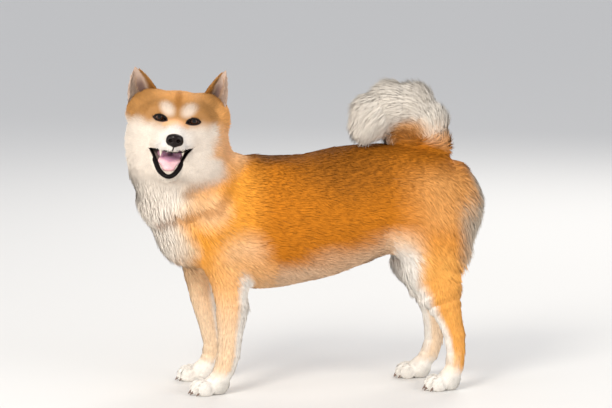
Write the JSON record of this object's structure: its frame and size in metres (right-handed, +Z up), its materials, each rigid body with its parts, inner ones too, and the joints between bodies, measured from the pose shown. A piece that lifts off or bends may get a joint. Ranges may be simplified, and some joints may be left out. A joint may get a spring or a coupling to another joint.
{
  "type": "shiba inu",
  "caption": "Life-size still model of a tan and cream shiba inu standing side on, head turned to the viewer, mouth open, tail curled over the back.",
  "frame": {"origin": "middle of the footprint's bounding box on the ground plane", "axes": "+Z up, -X towards the dog's chest, +X towards its rump, -Y towards its left side, where the face looks"},
  "size_m": [0.5976, 0.2282, 0.5331],
  "materials": {
    "tan_fur": "short dense tan fur",
    "pale_fur": "short dense cream fur",
    "nose": "damp dark nose leather and lips",
    "eye": "wet dark brown eye",
    "tongue": "moist pink tongue"
  },
  "bodies": {
    "root": {"barrel": "tan_fur", "chest": "tan_fur", "ear_left": "tan_fur", "ear_right": "tan_fur", "eye_left": "eye", "eye_right": "eye", "foreleg_left_pastern": "tan_fur", "foreleg_left_paw": "pale_fur", "foreleg_left_upper": "tan_fur", "foreleg_right_pastern": "tan_fur", "foreleg_right_paw": "pale_fur", "foreleg_right_upper": "tan_fur", "head": "tan_fur", "hindleg_left_hock": "tan_fur", "hindleg_left_paw": "pale_fur", "hindleg_left_shin": "tan_fur", "hindleg_left_thigh": "tan_fur", "hindleg_right_hock": "tan_fur", "hindleg_right_paw": "pale_fur", "hindleg_right_shin": "tan_fur", "hindleg_right_thigh": "tan_fur", "lower_jaw": "pale_fur", "muzzle": "pale_fur", "neck": "tan_fur", "nose": "nose", "rump": "tan_fur", "tail_base": "tan_fur", "tail_middle": "pale_fur", "tail_tip": "pale_fur", "tongue": "tongue"}
  },
  "joints": []
}
